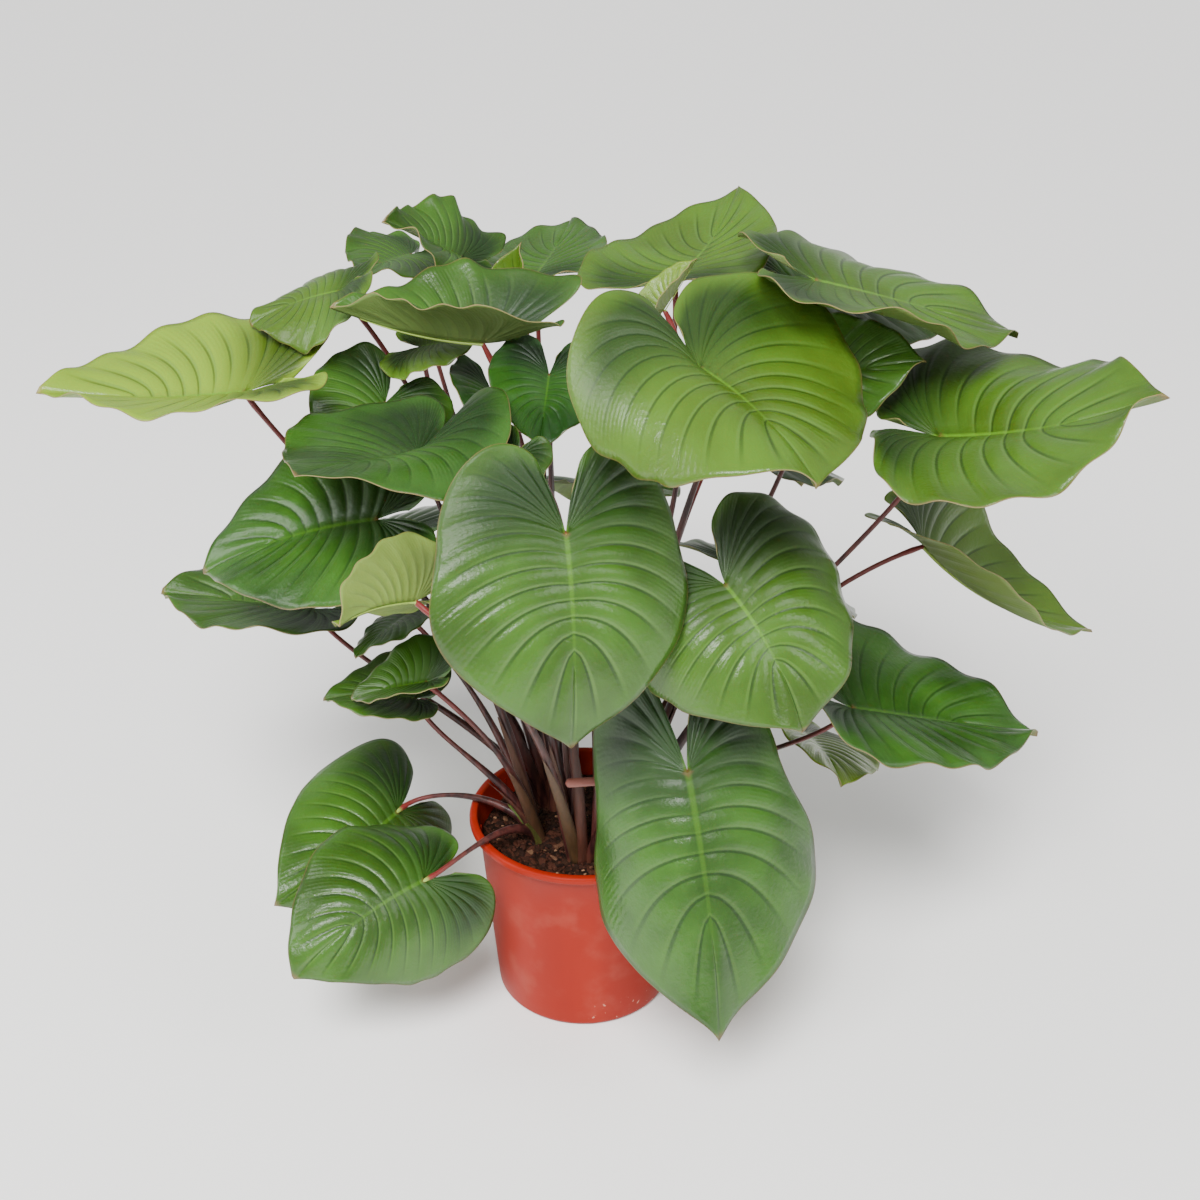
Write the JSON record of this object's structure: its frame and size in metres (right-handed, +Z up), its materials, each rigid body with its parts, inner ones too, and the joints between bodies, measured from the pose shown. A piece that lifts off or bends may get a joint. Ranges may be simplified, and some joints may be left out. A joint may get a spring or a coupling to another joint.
{
  "type": "potted foliage plant",
  "caption": "Bushy aroid house plant with broad heart-shaped pleated leaves on long dark stalks, standing in a round plastic nursery pot filled with soil.",
  "frame": {"origin": "middle of the pot's flat base, on the surface it stands on", "axes": "+Z up along the pot's axis, +X to the right and -Y towards the viewer as the picture shows the plant"},
  "size_m": [0.9126, 0.5978, 0.7329],
  "materials": {
    "pot": "satin",
    "soil": "matte",
    "stalk": "satin",
    "leaf": "satin",
    "young_leaf": "satin"
  },
  "bodies": {
    "root": {"crown_back_left": "stalk", "crown_back_right": "stalk", "crown_front": "stalk", "crown_left": "stalk", "crown_right": "stalk", "leaf_back_mid": "leaf", "leaf_back_right": "leaf", "leaf_behind_front": "leaf", "leaf_crown_left": "leaf", "leaf_dark_behind": "leaf", "leaf_far_left": "young_leaf", "leaf_front_mid": "leaf", "leaf_left_back": "leaf", "leaf_left_back_low": "leaf", "leaf_left_big": "leaf", "leaf_left_dark": "leaf", "leaf_left_low": "leaf", "leaf_left_mid_dark": "leaf", "leaf_left_olive": "young_leaf", "leaf_left_small": "leaf", "leaf_left_upper": "leaf", "leaf_low_left_front": "leaf", "leaf_low_left_rear": "leaf", "leaf_low_right": "leaf", "leaf_olive_under": "leaf", "leaf_rear_bottom": "leaf", "leaf_rear_left": "leaf", "leaf_rear_low": "leaf", "leaf_rear_right": "leaf", "leaf_rear_side": "leaf", "leaf_right_fold": "leaf", "leaf_right_low": "leaf", "leaf_right_mid": "leaf", "leaf_right_olive": "young_leaf", "leaf_right_top": "leaf", "leaf_right_top_back": "leaf", "leaf_right_under": "leaf", "leaf_right_upper": "leaf", "leaf_shade_left": "leaf", "leaf_shade_mid": "leaf", "leaf_top_left": "leaf", "leaf_top_mid": "leaf", "leaf_upright": "leaf", "leaf_young_fold": "leaf", "pot": "pot", "soil": "soil"}
  },
  "joints": []
}
